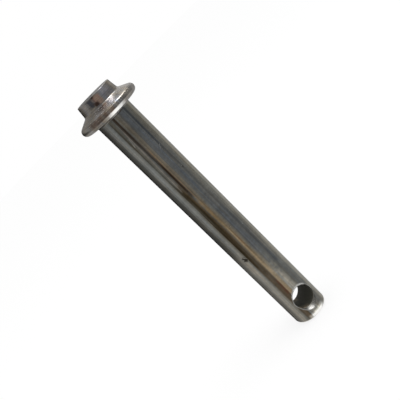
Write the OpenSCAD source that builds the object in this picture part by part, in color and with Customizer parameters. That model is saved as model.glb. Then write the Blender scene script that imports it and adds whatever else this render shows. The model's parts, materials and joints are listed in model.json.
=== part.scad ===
// Top link pin: one forged steel bar with a tapered boss, a round-edged collar and a plain shank,
// cross-drilled near its tip for a linch pin. It stands on its tip, head up, along +Z.
// The origin is the centre of the tip's flat end, and the cross hole runs along Y.

/* [Shank] */
// Diameter of the shank
shank_d = 19; // [16:0.1:28]
// Length from the collar's seat to the tip's end
shank_len = 141.5; // [60:0.5:260]
// Radius of the round on the tip's edge
tip_round_r = 1.6; // [0.4:0.1:4]
// Radius of the fillet where the shank meets the collar
neck_fillet_r = 0.8; // [0.2:0.1:2]

/* [Linch pin hole] */
// Diameter of the cross hole
hole_d = 11.8; // [6:0.1:13]
// Distance of the hole's axis from the tip's end
hole_to_tip = 12.4; // [10:0.1:40]
// Depth of the countersink at each mouth of the hole
countersink_depth = 1.9; // [0.2:0.1:2.5]
// Included angle of the countersink
countersink_angle = 90; // [60:5:120]

/* [Collar] */
// Diameter over the collar's rim
collar_d = 32.5; // [30:0.5:46]
// Radius of the collar's round rim
rim_r = 2.2; // [1.5:0.1:3]
// Fall of the collar's top towards the rim, in degrees
collar_top_fall = 26; // [15:1:35]
// Rise of the collar's underside towards the rim, in degrees
collar_under_rise = 7.5; // [1:0.5:12]

/* [Boss] */
// Diameter of the boss at its top
boss_top_d = 19; // [14:0.1:22]
// Draft of the boss's side, in degrees
boss_draft = 7.5; // [3:0.5:15]
// Height of the boss's top above the collar's seat
head_h = 12.6; // [11:0.1:20]
// Radius of the round on the boss's top edge
boss_round_r = 0.3; // [0.2:0.1:1.5]
// Radius of the fillet between the boss and the collar
boss_fillet_r = 1.2; // [0.5:0.1:2.5]

/* [Hidden] */
$fn = 180;

// How far a cutter runs past the skin that it cuts
overrun = 1;
// How far an arc reaches past the straight edges that it joins, so that it crosses them cleanly
hair = 0.002;

shank_r = shank_d / 2;
boss_top_r = boss_top_d / 2;
hole_r = hole_d / 2;

// The half section is drawn as [radius, height], with heights measured from the collar's seat
tip_corner = [shank_r, -shank_len];
neck_corner = [shank_r, 0];
boss_corner = [boss_top_r, head_h];

// The rim is a circle that the collar's underside and top both run into
rim_centre_r = collar_d / 2 - rim_r;
rim_centre_h = (rim_centre_r - shank_r) * tan(collar_under_rise) + rim_r / cos(collar_under_rise);
rim_centre = [rim_centre_r, rim_centre_h];
rim_under = rim_centre + rim_r * [sin(collar_under_rise), -cos(collar_under_rise)];
rim_top = rim_centre + rim_r * [sin(collar_top_fall), cos(collar_top_fall)];

// The boss's root is where the boss's side crosses the slope of the collar's top
side_r_at_rim_top = boss_top_r + (head_h - rim_top.y) * tan(boss_draft);
root_rise = (rim_top.x - side_r_at_rim_top) / (1 / tan(collar_top_fall) - tan(boss_draft));
boss_root = rim_top + root_rise * [-1 / tan(collar_top_fall), 1];

// Directions of the edges that meet at the corners
inward = [-1, 0];
upward = [0, 1];
up_the_boss = [-sin(boss_draft), cos(boss_draft)];
down_the_collar = [cos(collar_top_fall), -sin(collar_top_fall)];
along_underside = [cos(collar_under_rise), sin(collar_under_rise)];

// Each rounded corner: the sharp corner, the edge before it, the edge after it and the arc's radius
tip_round = [tip_corner, inward, upward, tip_round_r];
neck_fillet = [neck_corner, -upward, along_underside, neck_fillet_r];
boss_fillet = [boss_root, down_the_collar, up_the_boss, boss_fillet_r];
boss_round = [boss_corner, -up_the_boss, inward, boss_round_r];

function half_angle(round) = acos(round[1] * round[2]) / 2;
function into_corner(round) = -(round[1] + round[2]) / norm(round[1] + round[2]);
function arc_centre(round) = round[0] - into_corner(round) * round[3] / sin(half_angle(round));

// Points that open the section at a corner as far as the centre of its arc
function opened(round) =
    let (reach = round[3] / tan(half_angle(round)))
    [round[0] + reach * round[1], arc_centre(round), round[0] + reach * round[2]];

// Disc whose edge is the arc of a rounded corner
module arc_disc(round) {
    translate(arc_centre(round) + hair * into_corner(round)) circle(round[3]);
}

// Half section of the pin: straight edges, with discs added or cut away where an edge is round
module section() {
    difference() {
        union() {
            polygon([
                [0, -shank_len],
                each opened(tip_round),
                each opened(neck_fillet),
                rim_under, rim_centre, rim_top,
                each opened(boss_fillet),
                each opened(boss_round),
                [0, head_h]
            ]);
            arc_disc(tip_round);
            arc_disc(boss_round);
            translate(rim_centre + [hair, 0]) circle(rim_r);
        }
        arc_disc(neck_fillet);
        arc_disc(boss_fillet);
    }
}

// Cutter for one mouth of the hole: a cone that opens outwards through the skin
module countersink() {
    reach = countersink_depth + overrun;
    spread = reach * tan(countersink_angle / 2);
    translate([0, 0, shank_r - countersink_depth]) cylinder(h = reach, r1 = hole_r, r2 = hole_r + spread);
}

// Cutter for the cross hole, along Z
module linch_pin_hole() {
    cylinder(h = shank_d + 2 * overrun, r = hole_r, center = true);
    countersink();
    mirror([0, 0, 1]) countersink();
}

module headed_pin() {
    color("slategray") difference() {
        translate([0, 0, shank_len]) rotate_extrude() section();
        translate([0, 0, hole_to_tip]) rotate([90, 0, 0]) linch_pin_hole();
    }
}

headed_pin();
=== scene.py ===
import json
import math

import bpy
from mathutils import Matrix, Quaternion, Vector


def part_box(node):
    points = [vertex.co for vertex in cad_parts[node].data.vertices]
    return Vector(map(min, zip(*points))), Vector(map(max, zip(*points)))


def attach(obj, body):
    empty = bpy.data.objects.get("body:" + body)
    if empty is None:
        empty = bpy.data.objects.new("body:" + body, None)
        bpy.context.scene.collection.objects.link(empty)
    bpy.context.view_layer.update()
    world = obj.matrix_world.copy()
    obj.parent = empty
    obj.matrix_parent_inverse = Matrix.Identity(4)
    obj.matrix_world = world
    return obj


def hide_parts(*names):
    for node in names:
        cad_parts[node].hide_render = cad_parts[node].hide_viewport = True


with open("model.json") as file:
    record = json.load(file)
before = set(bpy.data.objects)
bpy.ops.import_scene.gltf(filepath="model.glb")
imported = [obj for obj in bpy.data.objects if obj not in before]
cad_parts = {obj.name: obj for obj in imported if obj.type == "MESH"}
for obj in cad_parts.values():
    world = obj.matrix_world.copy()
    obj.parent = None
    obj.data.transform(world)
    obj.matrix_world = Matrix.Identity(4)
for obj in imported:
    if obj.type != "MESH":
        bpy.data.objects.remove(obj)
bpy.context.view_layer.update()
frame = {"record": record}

# The pin's body: one bar of plated steel. The head is forged and turned to a tapered boss and a
# round-edged collar, the shank is drawn smooth, and the tip is rounded off.
# The whole half section is drawn once and spun round the pin's axis.
MM = 0.001
mounts = {mount["name"]: mount for mount in frame["record"]["mounts"]}
pin_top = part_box("headed_pin")[1].z
collar_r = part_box("headed_pin")[1].x
shank_r = mounts["shank"]["dims"]["r_mm"] * MM
head_h = 12.6 * MM
seat_z = pin_top - head_h
tip_round_r = 1.6 * MM
neck_fillet_r = 0.8 * MM
rim_r = 2.2 * MM
under_rise = math.radians(7.5)
top_fall = math.radians(26)
boss_top_r = 9.5 * MM
boss_draft = math.radians(7.5)
boss_round_r = 0.3 * MM
boss_fillet_r = 1.2 * MM
AROUND = 256
MERGE_WITHIN = 0.002 * MM


def arc(centre, radius, start, end, steps):
    """Points of an arc as (radius, height), from one angle to another in radians."""
    angles = [start + (end - start) * i / steps for i in range(steps + 1)]
    return [(centre[0] + radius * math.cos(a), centre[1] + radius * math.sin(a)) for a in angles]


def corner_arc(corner, before, after, radius, steps):
    """Points of the arc that rounds a corner between two edges, given the directions of those edges."""
    before, after = Vector(before).normalized(), Vector(after).normalized()
    half = before.angle(after) / 2
    centre = Vector(corner) + (before + after).normalized() * radius / math.sin(half)
    first = Vector(corner) + before * radius / math.tan(half)
    last = Vector(corner) + after * radius / math.tan(half)
    start = math.atan2(first.y - centre.y, first.x - centre.x)
    turn = (math.atan2(last.y - centre.y, last.x - centre.x) - start + math.pi) % math.tau - math.pi
    return arc(centre, radius, start, start + turn, steps)


def straight(first, last, steps):
    """Points between two ends, without the ends."""
    first, last = Vector(first), Vector(last)
    return [tuple(first.lerp(last, i / steps)) for i in range(1, steps)]


def turned(name, outline, axis, steps):
    """Draw a half section by extruding a point along it, and spin it round an axis."""
    along = Vector(axis)
    across = Vector((1, 0, 0))
    places = [across * radius + along * height for radius, height in outline]
    bpy.ops.object.select_all(action="DESELECT")
    bpy.ops.mesh.primitive_plane_add(size=MM)
    piece = bpy.context.object
    piece.name = piece.data.name = name
    bpy.ops.object.mode_set(mode="EDIT")
    bpy.ops.mesh.merge(type="CENTER")
    bpy.ops.transform.translate(value=places[0])
    for here, there in zip(places, places[1:]):
        bpy.ops.mesh.extrude_region_move(TRANSFORM_OT_translate={"value": there - here})
    bpy.ops.mesh.select_all(action="SELECT")
    bpy.ops.mesh.spin(steps=steps, angle=math.tau, center=(0, 0, 0), axis=along)
    bpy.ops.mesh.select_all(action="SELECT")
    bpy.ops.mesh.remove_doubles(threshold=MERGE_WITHIN)
    bpy.ops.mesh.normals_make_consistent(inside=False)
    bpy.ops.object.mode_set(mode="OBJECT")
    return piece


rim_centre = Vector((collar_r - rim_r, 0))
rim_centre.y = seat_z + (rim_centre.x - shank_r) * math.tan(under_rise) + rim_r / math.cos(under_rise)
rim_top = rim_centre + rim_r * Vector((math.sin(top_fall), math.cos(top_fall)))
up_the_boss = Vector((-math.sin(boss_draft), math.cos(boss_draft)))
down_the_collar = Vector((math.cos(top_fall), -math.sin(top_fall)))
along_underside = Vector((math.cos(under_rise), math.sin(under_rise)))
side_at_rim_top = boss_top_r + (pin_top - rim_top.y) * math.tan(boss_draft)
root_rise = (rim_top.x - side_at_rim_top) / (1 / math.tan(top_fall) - math.tan(boss_draft))
boss_root = rim_top + root_rise * Vector((-1 / math.tan(top_fall), 1))

tip_arc = corner_arc((shank_r, 0), (-1, 0), (0, 1), tip_round_r, steps=10)
neck_arc = corner_arc((shank_r, seat_z), (0, -1), along_underside, neck_fillet_r, steps=6)
rim_arc = arc(rim_centre, rim_r, under_rise - math.pi / 2, math.pi / 2 - top_fall, steps=26)
fillet_arc = corner_arc(boss_root, down_the_collar, up_the_boss, boss_fillet_r, steps=8)
boss_arc = corner_arc((boss_top_r, pin_top), -up_the_boss, (-1, 0), boss_round_r, steps=4)
section = [(0, 0)]
section += straight((0, 0), tip_arc[0], steps=4)
section += tip_arc + straight(tip_arc[-1], neck_arc[0], steps=140) + neck_arc
section += straight(neck_arc[-1], rim_arc[0], steps=6) + rim_arc
section += straight(rim_arc[-1], fillet_arc[0], steps=6) + fillet_arc
section += straight(fillet_arc[-1], boss_arc[0], steps=6) + boss_arc
section += straight(boss_arc[-1], (0, pin_top), steps=4) + [(0, pin_top)]
pin = turned("top_link_pin", section, axis=(0, 0, 1), steps=AROUND)

# The cross hole: drilled straight through the tip end and countersunk a little at both mouths.
# A turned cutter of the drill's own shape goes through the bar and is then taken away.
hole_r = mounts["linch_pin_hole"]["dims"]["r_mm"] * MM
hole_wall = mounts["linch_pin_hole"]["dims"]["length_mm"] * MM
hole_z = mounts["linch_pin_hole"]["pos_m"][2]
DRILL_PAST_BAR = 2 * MM
SMOOTH_ANGLE = math.radians(28)
mouth = hole_wall / 2
reach = shank_r + DRILL_PAST_BAR - mouth
cut = [(0, -mouth - reach), (hole_r + reach, -mouth - reach), (hole_r, -mouth)]
cut += straight((hole_r, -mouth), (hole_r, mouth), steps=8)
cut += [(hole_r, mouth), (hole_r + reach, mouth + reach), (0, mouth + reach)]
drill = turned("drill", cut, axis=(0, 1, 0), steps=128)
bpy.ops.object.mode_set(mode="EDIT")
bpy.ops.mesh.select_all(action="SELECT")
bpy.ops.transform.translate(value=(0, 0, hole_z))
bpy.ops.object.mode_set(mode="OBJECT")
bpy.ops.object.select_all(action="DESELECT")
bpy.context.view_layer.objects.active = pin
pin.select_set(True)
cross_hole = pin.modifiers.new("cross hole", "BOOLEAN")
cross_hole.operation = "DIFFERENCE"
cross_hole.solver = "EXACT"
cross_hole.object = drill
bpy.ops.object.modifier_apply(modifier=cross_hole.name)
bpy.data.objects.remove(drill)
bpy.ops.object.shade_smooth_by_angle(angle=SMOOTH_ANGLE)

# The nick: one knock in the shank, a third of the way up from the tip, left by a sharp blow.
# The skin is divided finely there and pushed in along two short strokes that meet, with a lip on one side.
NICK_ANGLE = math.radians(-49.4)
NICK_Z = 48.8 * MM
NICK_REACH = 3.4 * MM
NICK_DEPTH = 0.30 * MM
NICK_SPREAD = 0.65 * MM
LIP_HEIGHT = 0.07 * MM


def on_skin(angle, height):
    """The point of the shank's skin at an angle from the front and a height."""
    return Vector((shank_r * math.sin(angle), -shank_r * math.cos(angle), height))


def push(angle, height, depth, spread):
    """Move the skin round one point inwards, or outwards for a depth below zero, with a soft spread."""
    bpy.ops.object.mode_set(mode="OBJECT")
    spot = on_skin(angle, height)
    nearest = min(pin.data.vertices, key=lambda v: (v.co - spot).length)
    nearest.select = True
    bpy.ops.object.mode_set(mode="EDIT")
    inwards = Vector((-math.sin(angle), math.cos(angle), 0)) * depth
    soft = {"use_proportional_edit": True, "proportional_edit_falloff": "SMOOTH", "proportional_size": spread}
    bpy.ops.transform.translate(value=inwards, **soft)
    bpy.ops.mesh.select_all(action="DESELECT")


def stroke(first, last, steps, depth):
    """Push the skin along a line between two places, each in mm up the pin and mm round it from the nick."""
    for i in range(steps + 1):
        up, aside = Vector(first).lerp(Vector(last), i / steps) * MM
        push(NICK_ANGLE + aside / shank_r, NICK_Z + up, depth, NICK_SPREAD)


bpy.ops.object.mode_set(mode="EDIT")
bpy.ops.mesh.select_mode(type="FACE")
bpy.ops.mesh.select_all(action="DESELECT")
bpy.ops.object.mode_set(mode="OBJECT")
for face in pin.data.polygons:
    face.select = (face.center - on_skin(NICK_ANGLE, NICK_Z)).length < NICK_REACH
bpy.ops.object.mode_set(mode="EDIT")
bpy.ops.mesh.subdivide(number_cuts=3)
bpy.ops.mesh.select_mode(type="VERT")
bpy.ops.mesh.select_all(action="DESELECT")
stroke((0.7, -0.55), (-0.6, 1.1), steps=4, depth=NICK_DEPTH)
stroke((-1.2, 0.55), (-0.65, -0.5), steps=3, depth=NICK_DEPTH)
stroke((1.15, 0.05), (0.4, 0.95), steps=2, depth=-LIP_HEIGHT)
bpy.ops.object.mode_set(mode="OBJECT")

# The pin's finish: thin bright plating on drawn steel. The shank carries lengthwise draw lines and
# stained streaks, a few of them painted light and shade, the head carries fine turning rings, the rubbed
# edges are bright with a painted highlight in front, the hole's cut faces and lip carry painted highlights,
# and the bore is dark with dirt and painted shade.
OLIVE_PLATE = (0.385, 0.37, 0.31, 1)
BLUE_PLATE = (0.345, 0.35, 0.33, 1)
# bare steel, which also paints the highlights on the front edges and in the hole
BARE_STEEL_AND_HIGHLIGHT = (0.92, 0.91, 0.88, 1)
CUT_STEEL = (0.30, 0.29, 0.265, 1)
COLLAR_TINT = (1.06, 0.985, 0.97, 1)
PAINTED_TOP_SHADE = (0.72, 0.72, 0.72, 1)
WARM_DRIFT = (1.04, 1.0, 0.95, 1)
COOL_DRIFT = (0.97, 1.0, 1.03, 1)
BORE_DIRT_AND_SHADE = (0.058, 0.056, 0.041, 1)
BORE_RUST = (0.17, 0.135, 0.09, 1)
NICK_DIRT_AND_SHADE = (0.065, 0.055, 0.042, 1)


def add(tree, kind, inputs=None, **settings):
    """Add a shader node, set it up, and fill each of the named inputs with a value or a link."""
    node = tree.nodes.new(kind)
    for name, value in settings.items():
        setattr(node, name, value)
    for name, value in (inputs or {}).items():
        if isinstance(value, bpy.types.NodeSocket):
            tree.links.new(value, node.inputs[name])
        else:
            node.inputs[name].default_value = value
    return node


def maths(tree, operation, *values):
    """The result of one sum."""
    return add(tree, "ShaderNodeMath", dict(enumerate(values)), operation=operation).outputs[0]


def product(tree, first, *others):
    """Several masks or values multiplied together."""
    for other in others:
        first = maths(tree, "MULTIPLY", first, other)
    return first


def outside(tree, mask):
    """The reverse of a mask."""
    return maths(tree, "SUBTRACT", 1, mask)


def ease(tree, value, low, high):
    """A soft step from 0 at the low value to 1 at the high one."""
    inputs = {"Value": value, "From Min": low, "From Max": high}
    return add(tree, "ShaderNodeMapRange", inputs, interpolation_type="SMOOTHSTEP").outputs["Result"]


def span(tree, value, low, high, new_low, new_high):
    """A value moved from one range to another."""
    inputs = {"Value": value, "From Min": low, "From Max": high, "To Min": new_low, "To Max": new_high}
    return add(tree, "ShaderNodeMapRange", inputs).outputs["Result"]


def blend(tree, share, under, over, way="MIX"):
    """One colour laid over another by a share."""
    node = add(tree, "ShaderNodeMix", {0: share, 6: under, 7: over}, data_type="RGBA", blend_type=way)
    return node.outputs[2]


def noise(tree, vector, scale, detail):
    """A cloud of values from 0 to 1."""
    inputs = {"Vector": vector, "Scale": scale, "Detail": detail}
    return add(tree, "ShaderNodeTexNoise", inputs).outputs["Fac"]


# where a point lies on the pin, in mm and in degrees from the front, and the coordinates of the grain there:
# drawn out along the shank, in rings round the axis, or in long patches
SHANK_SQUEEZE, HEAD_SQUEEZE = 0.012, 0.6
PATCH_SCALE = (0.5, 0.5, 0.03)
GRAIN_CHANGES = (140.9, 141.1)
place = bpy.data.node_groups.new("place_on_the_pin", "ShaderNodeTree")
for name in ("Angle", "Radius", "Height", "Depth", "From bore"):
    place.interface.new_socket(name, in_out="OUTPUT", socket_type="NodeSocketFloat")
for name in ("Drawn", "Turned", "Patched", "Point"):
    place.interface.new_socket(name, in_out="OUTPUT", socket_type="NodeSocketVector")
coords = add(place, "ShaderNodeTexCoord").outputs["Object"]
point = add(place, "ShaderNodeVectorMath", {0: coords, "Scale": 1 / MM}, operation="SCALE").outputs[0]
x, y, z = add(place, "ShaderNodeSeparateXYZ", {0: point}).outputs
flat = add(place, "ShaderNodeCombineXYZ", {"X": x, "Y": y}).outputs[0]
radius = add(place, "ShaderNodeVectorMath", {0: flat}, operation="LENGTH").outputs["Value"]
over_bore = maths(place, "SUBTRACT", z, hole_z / MM)
beside = add(place, "ShaderNodeCombineXYZ", {"X": x, "Z": over_bore}).outputs[0]
squeeze = span(place, z, *GRAIN_CHANGES, SHANK_SQUEEZE, HEAD_SQUEEZE)
squeezed = {"X": x, "Y": y, "Z": maths(place, "MULTIPLY", z, squeeze)}
patched = add(place, "ShaderNodeVectorMath", {0: point, 1: PATCH_SCALE}, operation="MULTIPLY")
outputs = {
    "Angle": maths(place, "DEGREES", maths(place, "ARCTAN2", x, maths(place, "MULTIPLY", y, -1))),
    "Radius": radius,
    "Height": z,
    "Depth": maths(place, "ABSOLUTE", y),
    "From bore": add(place, "ShaderNodeVectorMath", {0: beside}, operation="LENGTH").outputs["Value"],
    "Drawn": add(place, "ShaderNodeCombineXYZ", squeezed).outputs[0],
    "Turned": add(place, "ShaderNodeCombineXYZ", {"X": radius, "Z": z}).outputs[0],
    "Patched": patched.outputs[0],
    "Point": point,
}
add(place, "NodeGroupOutput", outputs)

# one streak: a strip up the pin with soft, wandering sides and ragged ends, thinned in patches
LEAN_FROM = 77
MOST_WANDER = 2.5
streak = bpy.data.node_groups.new("streak", "ShaderNodeTree")
SURFACE = ("Angle", "Height", "Wander", "Ragged", "Patches")
SHAPE = ("Centre", "Half width", "Softness", "Lean", "Low", "High", "Fade", "Patchy")
for name in SURFACE + SHAPE:
    streak.interface.new_socket(name, in_out="INPUT", socket_type="NodeSocketFloat")
streak.interface.new_socket("Mask", in_out="OUTPUT", socket_type="NodeSocketFloat")
given = add(streak, "NodeGroupInput").outputs
lean = maths(streak, "MULTIPLY", maths(streak, "SUBTRACT", given["Height"], LEAN_FROM), given["Lean"])
middle = maths(streak, "ADD", given["Centre"], lean)
shift = maths(streak, "MULTIPLY", given["Wander"], maths(streak, "MINIMUM", given["Softness"], MOST_WANDER))
aside = maths(streak, "ADD", maths(streak, "SUBTRACT", given["Angle"], middle), shift)
aside = maths(streak, "ABSOLUTE", maths(streak, "WRAP", aside, 180, -180))
inner = maths(streak, "SUBTRACT", given["Half width"], given["Softness"])
outer = maths(streak, "ADD", given["Half width"], given["Softness"])
across = ease(streak, aside, outer, inner)
level = maths(streak, "ADD", given["Height"], maths(streak, "MULTIPLY", given["Ragged"], given["Fade"]))
rise = ease(streak, level, maths(streak, "SUBTRACT", given["Low"], given["Fade"]), given["Low"])
drop = ease(streak, level, maths(streak, "ADD", given["High"], given["Fade"]), given["High"])
thin = maths(streak, "MULTIPLY", given["Patchy"], outside(streak, given["Patches"]))
add(streak, "NodeGroupOutput", {"Mask": product(streak, across, rise, drop, outside(streak, thin))})

# centre and half width in degrees from the front, softness, lean in degrees per mm, heights and fade in mm,
# colour and share
STREAKS = [
    # the blue stain on the shank's front, with a dark line on either side
    (5.8, 10, 4.5, 0, 56, 141, 30, (0.30, 0.332, 0.365), 1.0),
    (20.3, 2.6, 2.4, 0, 46, 141, 20, (0.12, 0.14, 0.17), 0.8),
    (-4.3, 1.2, 1.4, 0, 96, 141, 12, (0.17, 0.15, 0.13), 0.8),
    # ochre stains beside it, on the head's half of the shank
    (-11.5, 5.5, 2.2, 0, 88, 141, 14, (0.40, 0.355, 0.275), 1.0),
    (-9.3, 1.6, 1.8, 0, 92, 112, 10, (0.56, 0.41, 0.25), 0.6),
    (-16.6, 1.8, 1.8, 0, 92, 118, 10, (0.58, 0.40, 0.23), 0.7),
    # the pale patch round the hole, which is painted light, and ochre stains on the tip's half of the shank
    (-3.0, 12.0, 8.0, 0, 6, 24, 18, (0.85, 0.82, 0.72), 1.1),
    (-9.5, 5.0, 3.5, 0, 40, 72, 14, (0.52, 0.46, 0.35), 1.0),
    (-17.4, 6.2, 4.0, 0, 16, 80, 10, (0.60, 0.44, 0.25), 1.0),
    (-14.5, 3.4, 2.8, 0, 56, 60, 5, (0.62, 0.39, 0.22), 0.6),
    (-14.0, 4.0, 2.8, 0, 30, 38, 5, (0.88, 0.72, 0.50), 0.7),
    (-18.0, 2.4, 2.6, 0, 18, 66, 6, (0.78, 0.60, 0.38), 1.0),
    # a dark line to the head, two pale places on the left, the one by the collar a painted reflection, a
    # scratch, and painted shade in the corner under the collar
    (-22.0, 3.0, 2.4, 0, 96, 141, 8, (0.09, 0.06, 0.04), 1.1),
    (-64.0, 20.0, 8.0, 0, -2, 50, 14, (0.405, 0.372, 0.315), 0.8),
    (-64.0, 5.0, 4.0, 0, 132, 141, 4, (0.52, 0.52, 0.50), 0.9),
    (-84.8, 1.0, 0.8, 1.0, 125, 129.2, 0.8, (0.86, 0.81, 0.73), 0.9),
    (-5, 24, 10, 0, 140.7, 141.6, 0.15, (0.12, 0.11, 0.10), 1.0),
    # the brown stain along the left, partly stain and partly a painted dark reflection, with a spot of rust
    (-32.0, 7.4, 3.2, 0, 38, 94, 10, (0.24, 0.175, 0.10), 1.3),
    (-35.4, 4.6, 3.4, 0, 40, 94, 8, (0.105, 0.08, 0.045), 1.1),
    (-32.4, 8.0, 3.6, 0, 6, 34, 10, (0.27, 0.21, 0.145), 1.3),
    (-26.0, 4.0, 2.5, 0, 21, 29, 3, (0.34, 0.15, 0.08), 0.7),
    # two long pale rubs with a dark line beside them, and two short scratches
    (-37.2, 1.1, 1.1, 0.14, 99, 131, 6, (0.70, 0.61, 0.52), 1.0),
    (-32.8, 1.0, 1.0, 0.10, 99, 131, 6, (0.64, 0.55, 0.46), 0.9),
    (-39.8, 1.8, 1.5, 0, 97, 136, 6, (0.15, 0.13, 0.095), 0.9),
    (-186.2, 0.6, 0.3, 5, 116.6, 118.2, 0.2, (0.85, 0.87, 0.90), 0.9),
    (21.5, 2.4, 0.8, 0, 102.7, 103.3, 0.3, (0.08, 0.08, 0.09), 0.9),
    # blue, brown and grey stains on the side of the boss
    (18.0, 13.0, 5.0, 0, 151.6, 153.8, 0.8, (0.45, 0.48, 0.55), 1.0),
    (18.0, 14.0, 5.0, 0, 149.3, 151.4, 0.8, (0.29, 0.31, 0.36), 1.0),
    (-36.0, 8.0, 5.0, 0, 150.5, 153.3, 1.1, (0.10, 0.11, 0.13), 1.4),
    (-21.5, 5.0, 4.0, 0, 150.8, 153.5, 0.8, (0.25, 0.19, 0.175), 1.2),
    (-11.0, 7.0, 5.5, 0, 149.8, 153.0, 1.1, (0.45, 0.30, 0.235), 1.1),
    (-22.5, 6.5, 4.5, 0, 148.6, 150.6, 1.2, (0.085, 0.056, 0.047), 1.3),
    (-23.0, 5.0, 4.0, 0, 153.4, 153.95, 0.5, (0.07, 0.05, 0.045), 1.2),
    (-62.0, 10.0, 5.0, 0, 149.4, 153.8, 0.6, (0.44, 0.44, 0.43), 1.0),
    # the collar's slope lightened with painted light, painted shade in the corner above it, and the brown
    # stains on its rim
    (-18.0, 26.0, 8.0, 0, 146.5, 148.4, 0.6, (0.56, 0.57, 0.565), 1.0),
    (-30.0, 20.0, 8.0, 0, 148.6, 149.3, 0.3, (0.25, 0.25, 0.25), 0.9),
    (-37.0, 21.0, 9.0, 0, 144.1, 145.7, 0.8, (0.215, 0.17, 0.14), 1.1),
    (-14.0, 7.0, 6.0, 0, 144.0, 145.2, 0.7, (0.37, 0.285, 0.225), 1.0),
    # the back of the shank
    (104, 7, 3.5, 0, 20, 120, 25, (0.47, 0.40, 0.30), 0.9),
    (93, 3, 1.8, 0, 10, 141, 12, (0.11, 0.09, 0.065), 0.9),
    (152, 12, 3.5, 0, 60, 141, 30, (0.28, 0.31, 0.36), 1.0),
    (178, 4, 2.0, 0.03, 8, 105, 12, (0.14, 0.11, 0.07), 0.9),
    (-166, 5, 2.5, 0, 25, 141, 15, (0.54, 0.41, 0.25), 0.9),
    (-128, 9, 3.5, 0, 8, 132, 20, (0.27, 0.28, 0.31), 0.9),
    (-104, 2, 1.5, -0.02, 30, 141, 10, (0.12, 0.10, 0.08), 0.9),
]
STREAK_PATCHY = 0.55
# the same sizes for the places on the collar's rim and the tip's edge where the plating is rubbed off;
# the two in front also carry a painted highlight
WORN_AND_HIGHLIT_EDGES = [
    (-5, 16, 11, 0, 141.4, 143.6, 0.4),
    (0, 23, 10, 0, -2, 2.1, 0.5),
    (170, 30, 8, 0, 141.9, 143.4, 0.8),
    (-120, 18, 6, 0, -2, 1.2, 0.6),
]
WORN_AND_HIGHLIT_PATCHY = 0.15

steel = bpy.data.materials.new("plated_steel")
steel.use_nodes = True
tree = steel.node_tree
shader = tree.nodes["Principled BSDF"]
here = add(tree, "ShaderNodeGroup", node_tree=place).outputs
# the heights in mm at which the head and the two flat ends begin, each softly
HEAD_BEGINS = (140.6, 141.8)
TOP_BEGINS = (154.0, 154.08)
TIP_BEGINS = (0.06, 0.02)
on_head = ease(tree, here["Height"], *HEAD_BEGINS)
flat_top = ease(tree, here["Height"], *TOP_BEGINS)
flat_tip = ease(tree, here["Height"], *TIP_BEGINS)
draw_lines = noise(tree, here["Drawn"], scale=1.3, detail=5)
turning_rings = noise(tree, here["Turned"], scale=2.4, detail=3)
ringed = maths(tree, "MAXIMUM", on_head, flat_tip)
lines = add(tree, "ShaderNodeMix", {0: ringed, 2: draw_lines, 3: turning_rings}).outputs[0]
blotches = noise(tree, here["Point"], scale=0.16, detail=4)
specks = noise(tree, here["Point"], scale=0.9, detail=3)
tint = noise(tree, here["Drawn"], scale=0.2, detail=2)
# how far a streak's sides fray and drift, in softnesses of MOST_WANDER degrees at most, and how far its
# ends move, in fades
FRAY, DRIFT, RAGGEDNESS = 1.5, 0.8, 0.3
frayed = span(tree, noise(tree, here["Drawn"], scale=1.6, detail=4), 0.2, 0.8, -FRAY, FRAY)
drifting = span(tree, noise(tree, here["Patched"], scale=0.7, detail=2), 0.3, 0.7, -DRIFT, DRIFT)
wander = maths(tree, "ADD", frayed, drifting)
ragged = span(tree, noise(tree, here["Point"], scale=0.3, detail=2), 0.3, 0.7, -RAGGEDNESS, RAGGEDNESS)
patches = span(tree, noise(tree, here["Patched"], scale=1, detail=3), 0.36, 0.6, 0, 1)
# the flat ends count as far beyond the sides, out of reach of the streaks
FLAT_SHIFT = 20
side_height = maths(tree, "MULTIPLY_ADD", flat_top, FLAT_SHIFT, here["Height"])
side_height = maths(tree, "MULTIPLY_ADD", flat_tip, -FLAT_SHIFT, side_height)
SKIN = dict(zip(SURFACE, (here["Angle"], side_height, wander, ragged, patches)))


def streak_mask(shape, patchy):
    """Where one streak lies on the pin, as a mask from 0 to 1."""
    inputs = {**SKIN, **dict(zip(SHAPE, (*shape, patchy)))}
    return add(tree, "ShaderNodeGroup", inputs, node_tree=streak).outputs["Mask"]


# the plating, its streaks, and the light and dark, warm and cool of its grain
LINE_SHADE = (0.70, 1.30)
BLOTCH_SHADE = (0.88, 1.12)
SPECK_SHADE = (0.88, 1.12)
colour = blend(tree, ease(tree, tint, 0.38, 0.62), BLUE_PLATE, OLIVE_PLATE)
for *shape, (red, green, blue), share in STREAKS:
    laid = streak_mask(shape, STREAK_PATCHY)
    laid = add(tree, "ShaderNodeMath", {0: laid, 1: share}, operation="MULTIPLY", use_clamp=True).outputs[0]
    colour = blend(tree, laid, colour, (red, green, blue, 1))
line_shade = span(tree, lines, 0.25, 0.75, *LINE_SHADE)
blotch_shade = span(tree, blotches, 0.3, 0.7, *BLOTCH_SHADE)
speck_shade = span(tree, specks, 0.3, 0.7, *SPECK_SHADE)
shade = product(tree, line_shade, blotch_shade, speck_shade)
grey = add(tree, "ShaderNodeCombineColor", {"Red": shade, "Green": shade, "Blue": shade}).outputs[0]
colour = blend(tree, 1, colour, grey, "MULTIPLY")
cooler = ease(tree, noise(tree, here["Patched"], scale=1.7, detail=2), 0.36, 0.64)
colour = blend(tree, 1, colour, blend(tree, cooler, WARM_DRIFT, COOL_DRIFT), "MULTIPLY")
colour = blend(tree, on_head, colour, COLLAR_TINT, "MULTIPLY")
# the flat top of the boss is darkened with painted shade
colour = blend(tree, flat_top, colour, PAINTED_TOP_SHADE, "MULTIPLY")

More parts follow.
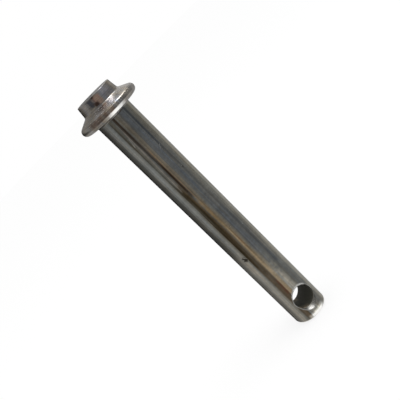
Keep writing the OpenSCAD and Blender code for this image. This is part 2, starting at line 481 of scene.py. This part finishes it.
# the rubbed rim, and the rubbed edges, which carry a painted highlight in front
RUBBED_SHARE = 0.12
RIM_BEGINS = (15.4, 16.2)
rubbed = product(tree, ease(tree, here["Radius"], *RIM_BEGINS), ease(tree, blotches, 0.42, 0.62))
colour = blend(tree, maths(tree, "MULTIPLY", rubbed, RUBBED_SHARE), colour, BARE_STEEL_AND_HIGHLIGHT)
for shape in WORN_AND_HIGHLIT_EDGES:
    colour = blend(tree, streak_mask(shape, WORN_AND_HIGHLIT_PATCHY), colour, BARE_STEEL_AND_HIGHLIGHT)

# the hole: its cut faces, with painted highlights low in front and towards the head, a painted highlight
# along its lip, and its bore, dark with dirt and painted shade
CUT_SHARE = 0.9
LIP_HIGHLIGHT_SHARE = 0.8
skin_r = shank_r / MM
bore_r = hole_r / MM
bore_z = hole_z / MM
by_tip = ease(tree, here["Height"], 26, 25)
off_tip_end = ease(tree, here["Height"], 3.2, 3.8)
in_hole = product(tree, ease(tree, here["Radius"], skin_r - 0.04, skin_r - 0.12), by_tip, off_tip_end)
low_in_front = product(tree, ease(tree, here["Angle"], 12, -6), ease(tree, here["Angle"], -30, -14))
painted_highlight_low_in_front = product(tree, low_in_front, ease(tree, here["From bore"], 6.2, 7.2))
head_side = product(tree, in_hole, ease(tree, here["Height"], bore_z + 2.5, bore_z + 4.5))
cut_face_with_highlight = blend(tree, maths(tree, "MAXIMUM", painted_highlight_low_in_front, head_side), CUT_STEEL, BARE_STEEL_AND_HIGHLIGHT)
colour = blend(tree, maths(tree, "MULTIPLY", in_hole, CUT_SHARE), colour, cut_face_with_highlight)
# a painted highlight along the lip of the mouth, left off on the tip side to the right of the front
flare = maths(tree, "MAXIMUM", maths(tree, "SUBTRACT", here["Depth"], mouth / MM), 0)
off_mouth = maths(tree, "SUBTRACT", here["From bore"], maths(tree, "ADD", flare, bore_r))
tip_side = ease(tree, here["Height"], bore_z + 2, bore_z - 2)
lip_left_unhighlighted = product(tree, tip_side, ease(tree, here["Angle"], -6, 3))
lip = product(tree, by_tip, ease(tree, off_mouth, 0.5, 0.15), outside(tree, in_hole), outside(tree, lip_left_unhighlighted))
colour = blend(tree, maths(tree, "MULTIPLY", lip, LIP_HIGHLIGHT_SHARE), colour, BARE_STEEL_AND_HIGHLIGHT)
# the bore darkened with dirt and painted shade, with rust low in front
in_bore = product(tree, in_hole, ease(tree, here["From bore"], bore_r + 0.25, bore_r + 0.05))
rusty = product(tree, ease(tree, here["Depth"], 3, 6), ease(tree, here["Angle"], 2, -18))
rusty = product(tree, rusty, ease(tree, specks, 0.35, 0.6))
colour = blend(tree, in_bore, colour, blend(tree, rusty, BORE_DIRT_AND_SHADE, BORE_RUST))

# the dirt and painted shade in the nick
NICK_SHARE = 0.95
by_nick = product(tree, ease(tree, here["Height"], 40, 42), ease(tree, here["Height"], 56, 54))
in_nick = product(tree, ease(tree, here["Radius"], skin_r - 0.05, skin_r - 0.20), by_nick)
colour = blend(tree, maths(tree, "MULTIPLY", in_nick, NICK_SHARE), colour, NICK_DIRT_AND_SHADE)
tree.links.new(colour, shader.inputs["Base Color"])

# dirt and the hole's upper cut face scatter the light in place of mirroring it, and the draw lines are rough
HEAD_SIDE_SCATTER = 0.6
SMOOTHEST, ROUGHEST = 0.11, 0.21
COLLAR_ROUGHER, HOLE_ROUGHER, BORE_ROUGHER = 0.1, 0.1, 0.4
LINE_DEPTH = 0.012 * MM
scattering = maths(tree, "MAXIMUM", in_bore, maths(tree, "MULTIPLY", head_side, HEAD_SIDE_SCATTER))
tree.links.new(outside(tree, scattering), shader.inputs["Metallic"])
on_collar = product(tree, on_head, ease(tree, here["Height"], 149.2, 148.2))
rough = span(tree, lines, 0.3, 0.7, SMOOTHEST, ROUGHEST)
rough = maths(tree, "MULTIPLY_ADD", on_collar, COLLAR_ROUGHER, rough)
rough = maths(tree, "MULTIPLY_ADD", in_hole, HOLE_ROUGHER, rough)
rough = maths(tree, "MULTIPLY_ADD", in_bore, BORE_ROUGHER, rough)
tree.links.new(rough, shader.inputs["Roughness"])
bump = add(tree, "ShaderNodeBump", {"Strength": 0.5, "Distance": LINE_DEPTH, "Height": lines})
tree.links.new(bump.outputs[0], shader.inputs["Normal"])
pin.data.materials.append(steel)

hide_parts("headed_pin")
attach(pin, "root")

# The floor: a plain white sweep that the pin stands on. It shows as white to the eye and in the steel,
# and a part of it still takes the lamp's light, so that the pin keeps a soft shadow.
FLOOR_R = 2.5
PAPER_WHITE = (0.95, 0.95, 0.95, 1)
PAPER_GLOW = 0.75
bpy.ops.object.select_all(action="DESELECT")
bpy.ops.mesh.primitive_circle_add(vertices=96, radius=FLOOR_R, fill_type="NGON")
floor = bpy.context.object
floor.name = "floor"
paper = bpy.data.materials.new("white_paper")
paper.use_nodes = True
paper.cycles.emission_sampling = "NONE"
tree = paper.node_tree
tree.nodes.clear()
rays = add(tree, "ShaderNodeLightPath").outputs
seen = maths(tree, "MAXIMUM", rays["Is Camera Ray"], rays["Is Glossy Ray"])
seen = maths(tree, "MAXIMUM", seen, rays["Is Transmission Ray"])
matt = add(tree, "ShaderNodeBsdfDiffuse", {"Color": PAPER_WHITE}).outputs[0]
glow = add(tree, "ShaderNodeEmission").outputs[0]
lit = {0: maths(tree, "MULTIPLY", seen, PAPER_GLOW), 1: matt, 2: glow}
add(tree, "ShaderNodeOutputMaterial", {"Surface": add(tree, "ShaderNodeMixShader", lit).outputs[0]})
floor.data.materials.append(paper)

# The light tent: grey cloth on the ground, round and over the pin, which shows only in the steel. It is dark
# behind on the left, paler on the left, mid grey in front, light behind on the right, and white where it
# meets the tip in front.
camera_turn = math.radians(-13.75)
TENT_R, TENT_H = 0.20, 0.50
TENT_FOOT_R = 0.0097
GROUND_GAP = 0.0003
WHITE_FOOT_R = 0.0135
WHITE_FOOT_SOFT = 0.001
WHITE_FOOT = (1.05, 1.05, 1.05, 1)
LID_GREY = (0.50, 0.50, 0.50, 1)
LID_EDGE = (TENT_H - 0.002, TENT_H - 0.001)
GROUND_TO_WALLS = (0.10, 0.15)
LOWER_TO_UPPER = (0.15, 0.19)
HEAD_FALL = 0.8
HEAD_FALL_BETWEEN = (0.085, 0.115)
FOOT_LEFT, FOOT_RIGHT = (-0.55, -0.25), (1.2, 0.7)
# the angle on the shank, from the camera, that mirrors each tone, with the tone of the walls and the ground
LOWER_TONES = [
    (-90, 0.02, 0.05), (-76, 0.03, 0.08), (-68, 0.08, 0.17), (-57, 0.125, 0.27), (-52, 0.19, 0.42),
    (-46, 0.34, 0.53), (-38, 0.46, 0.62), (-33, 0.38, 0.50), (-26.5, 0.22, 0.30), (-10, 0.24, 0.33),
    (10, 0.25, 0.36), (22, 0.25, 0.33), (34, 0.24, 0.28), (46, 0.28, 0.33), (57, 0.29, 0.335),
    (61, 0.53, 0.59), (72, 0.46, 0.52), (80, 0.28, 0.34), (90, 0.20, 0.24),
]
# the angle round the tent from the camera, with the tone of its upper walls
UPPER_TONES = [
    (-180, 0.46), (-172, 0.40), (-160, 0.28), (-125, 0.33), (125, 0.33), (150, 0.60), (172, 0.72),
    (179, 0.50),
]


def stage_only(thing):
    """Keep a cloth or card out of sight and out of the light, so that it shows only in the steel."""
    thing.visible_camera = False
    thing.visible_diffuse = False
    thing.visible_transmission = False
    thing.visible_shadow = False


def grey_ramp(tree, angle, widest, tones):
    """A grey that goes through the tones given at angles in degrees, from minus the widest to the widest."""
    along = span(tree, angle, -math.radians(widest), math.radians(widest), 0, 1)
    ramp = add(tree, "ShaderNodeValToRGB", {"Fac": along})
    elements = ramp.color_ramp.elements
    while len(elements) < len(tones):
        elements.new(0.5)
    for element, (degrees, tone) in zip(elements, tones):
        element.position = degrees / (2 * widest) + 0.5
        element.color = (tone, tone, tone, 1)
    return ramp.outputs["Color"]


def glowing(name):
    """A material with nothing but an evenly lit cloth or card in it: its tree and its glow."""
    material = bpy.data.materials.new(name)
    material.use_nodes = True
    material.cycles.emission_sampling = "NONE"
    material.node_tree.nodes.clear()
    glow = add(material.node_tree, "ShaderNodeEmission")
    add(material.node_tree, "ShaderNodeOutputMaterial", {"Surface": glow.outputs[0]})
    return material, material.node_tree, glow


def around(tree):
    """The angle round the tent from the camera, the distance from the pin's axis, and the height."""
    coords = add(tree, "ShaderNodeTexCoord").outputs["Object"]
    x, y, z = add(tree, "ShaderNodeSeparateXYZ", {0: coords}).outputs
    angle = maths(tree, "ARCTAN2", x, maths(tree, "MULTIPLY", y, -1))
    turn = maths(tree, "WRAP", maths(tree, "SUBTRACT", angle, camera_turn), math.pi, -math.pi)
    flat = add(tree, "ShaderNodeCombineXYZ", {"X": x, "Y": y}).outputs[0]
    distance = add(tree, "ShaderNodeVectorMath", {0: flat}, operation="LENGTH").outputs["Value"]
    return turn, distance, z


tent_outline = [(TENT_FOOT_R, GROUND_GAP), (TENT_R, GROUND_GAP), (TENT_R, TENT_H), (0, TENT_H)]
tent = turned("light_tent", tent_outline, axis=(0, 0, 1), steps=128)
cloth, tree, glow = glowing("grey_cloth")
turn, distance, z = around(tree)
mirrored = maths(tree, "MULTIPLY", turn, 0.5)
for _ in range(2):
    offset = maths(tree, "DIVIDE", maths(tree, "MULTIPLY", maths(tree, "SINE", mirrored), shank_r), distance)
    mirrored = maths(tree, "MULTIPLY", maths(tree, "ADD", turn, maths(tree, "ARCSINE", offset)), 0.5)
walls = grey_ramp(tree, mirrored, 90, [(degrees, tone) for degrees, tone, _ in LOWER_TONES])
ground = grey_ramp(tree, mirrored, 90, [(degrees, tone) for degrees, _, tone in LOWER_TONES])
upper = grey_ramp(tree, turn, 180, UPPER_TONES)
lower = blend(tree, ease(tree, distance, *GROUND_TO_WALLS), ground, walls)
in_front = product(tree, ease(tree, turn, *FOOT_LEFT), ease(tree, turn, *FOOT_RIGHT))
at_foot = ease(tree, distance, WHITE_FOOT_R + WHITE_FOOT_SOFT, WHITE_FOOT_R)
lower = blend(tree, product(tree, in_front, at_foot), lower, WHITE_FOOT)
upper = blend(tree, ease(tree, z, *LID_EDGE), upper, LID_GREY)
is_upper = ease(tree, z, *LOWER_TO_UPPER)
fall = span(tree, z, *HEAD_FALL_BETWEEN, 1, HEAD_FALL)
fall = add(tree, "ShaderNodeMix", {0: is_upper, 2: fall, 3: 1.0}).outputs[0]
tree.links.new(blend(tree, is_upper, lower, upper), glow.inputs["Color"])
tree.links.new(fall, glow.inputs["Strength"])
tent.data.materials.append(cloth)
stage_only(tent)

# The cards: white studio cards that show only in the steel. A shelf under the collar lights the lower side
# of its rim, three round cards high on the right give the head its highlights, and a level one lower down
# lights the countersink. A round card shows only from its front.
SHELF_Z = 0.1404
SHELF_IN_R, SHELF_OUT_R = 0.013, 0.023
# the angle round the shelf from the camera, with its tone
SHELF_TONES = [
    (-180, 0.4), (-50, 0.4), (-20, 0.45), (-10, 0.68), (2, 1.08), (18, 1.05), (34, 0.72), (52, 0.45),
    (180, 0.4),
]
HEAD_MIDDLE = (0, 0, 0.147)
MOUTH_FOOT = (0, 0, 0.006)
CARD_FADE = 0.6
shelf_outline = [(SHELF_IN_R, SHELF_Z), (SHELF_OUT_R, SHELF_Z)]
shelf = turned("rim_shelf", shelf_outline, axis=(0, 0, 1), steps=96)
shelf_card, tree, glow = glowing("shelf_card")
turn, _, _ = around(tree)
tree.links.new(grey_ramp(tree, turn, 180, SHELF_TONES), glow.inputs["Color"])
shelf.data.materials.append(shelf_card)
stage_only(shelf)


def round_card(name, radius, target, turn, lift, range_to, tone, level=False):
    """A round card with soft edges, at an angle round the camera, a lift and a range from its target.

    It faces the target, or straight down if it is level.
    """
    bearing = camera_turn + math.radians(turn)
    lift = math.radians(lift)
    away = Vector((math.sin(bearing) * math.cos(lift), -math.cos(bearing) * math.cos(lift), math.sin(lift)))
    centre = Vector(target) + away * range_to
    facing = Vector((0, 0, -1)) if level else -away
    bpy.ops.object.select_all(action="DESELECT")
    bpy.ops.mesh.primitive_circle_add(vertices=48, radius=radius, fill_type="NGON")
    sheet = bpy.context.object
    sheet.name = name
    sheet.rotation_mode = "QUATERNION"
    sheet.rotation_quaternion = facing.to_track_quat("Z", "Y")
    sheet.location = centre
    bpy.ops.object.transform_apply(location=True, rotation=True, scale=True)
    paint, tree, glow = glowing(name + "_paint")
    glow.inputs["Color"].default_value = (tone, tone, tone, 1)
    coords = add(tree, "ShaderNodeTexCoord").outputs["Object"]
    off = add(tree, "ShaderNodeVectorMath", {0: coords, 1: centre}, operation="DISTANCE").outputs["Value"]
    front = outside(tree, add(tree, "ShaderNodeNewGeometry").outputs["Backfacing"])
    shown = product(tree, front, ease(tree, off, radius, radius * CARD_FADE))
    clear = add(tree, "ShaderNodeBsdfTransparent")
    mixed = add(tree, "ShaderNodeMixShader", {0: shown, 1: clear.outputs[0], 2: glow.outputs[0]})
    tree.links.new(mixed.outputs[0], tree.nodes["Material Output"].inputs["Surface"])
    sheet.data.materials.append(paint)
    stage_only(sheet)


round_card("shoulder_card", radius=0.086, target=HEAD_MIDDLE, turn=99, lift=61, range_to=0.30, tone=6.6)
round_card("side_card", radius=0.060, target=HEAD_MIDDLE, turn=128, lift=47, range_to=0.26, tone=2.5)
round_card("front_card", radius=0.090, target=HEAD_MIDDLE, turn=50, lift=68, range_to=0.29, tone=0.9)
round_card("level_card", radius=0.065, target=MOUTH_FOOT, turn=60, lift=46, range_to=0.172, tone=1.25,
           level=True)

# The studio light: one large soft lamp overhead on the right and a white surround that fills the rest.
# The steel mirrors the tent and the cards in place of the lamp itself.
aim = Vector((0, 0, 0.0837))
LAMP_TURN = math.radians(80)
LAMP_DISTANCE, LAMP_HEIGHT, LAMP_SIZE, LAMP_LEVEL = 0.24, 0.66, 0.26, 4.0
lamp = bpy.data.lights.new("soft_lamp", "AREA")
lamp.size = LAMP_SIZE
lamp.energy = LAMP_LEVEL * math.pi * LAMP_SIZE ** 2
holder = bpy.data.objects.new("soft_lamp", lamp)
bearing = camera_turn + LAMP_TURN
holder.location = (LAMP_DISTANCE * math.sin(bearing), -LAMP_DISTANCE * math.cos(bearing), LAMP_HEIGHT)
holder.rotation_mode = "QUATERNION"
holder.rotation_quaternion = (aim - holder.location).to_track_quat("-Z", "Y")
holder.visible_camera = False
holder.visible_glossy = False
bpy.context.scene.collection.objects.link(holder)

world = bpy.data.worlds.new("white_surround")
bpy.context.scene.world = world
world.use_nodes = True
world.node_tree.nodes["Background"].inputs["Color"].default_value = (1, 1, 1, 1)

# The camera: to the left of the cross hole, a little above the head, and rolled by about 45 degrees,
# so that the pin lies across the picture.
CAMERA_DISTANCE, CAMERA_HEIGHT = 0.28404, 0.1679
CAMERA_ROLL = math.radians(-45.48)
camera_data = bpy.data.cameras.new("camera")
camera_data.sensor_width = 36
camera_data.lens = 55.63
camera = bpy.data.objects.new("camera", camera_data)
aside, ahead = CAMERA_DISTANCE * math.sin(camera_turn), CAMERA_DISTANCE * math.cos(camera_turn)
camera.location = (aside, -ahead, CAMERA_HEIGHT)
level_view = (aim - camera.location).to_track_quat("-Z", "Y")
camera.rotation_mode = "QUATERNION"
camera.rotation_quaternion = level_view @ Quaternion((0, 0, 1), CAMERA_ROLL)
bpy.context.scene.collection.objects.link(camera)
bpy.context.scene.camera = camera
bpy.context.scene.view_settings.view_transform = "Standard"
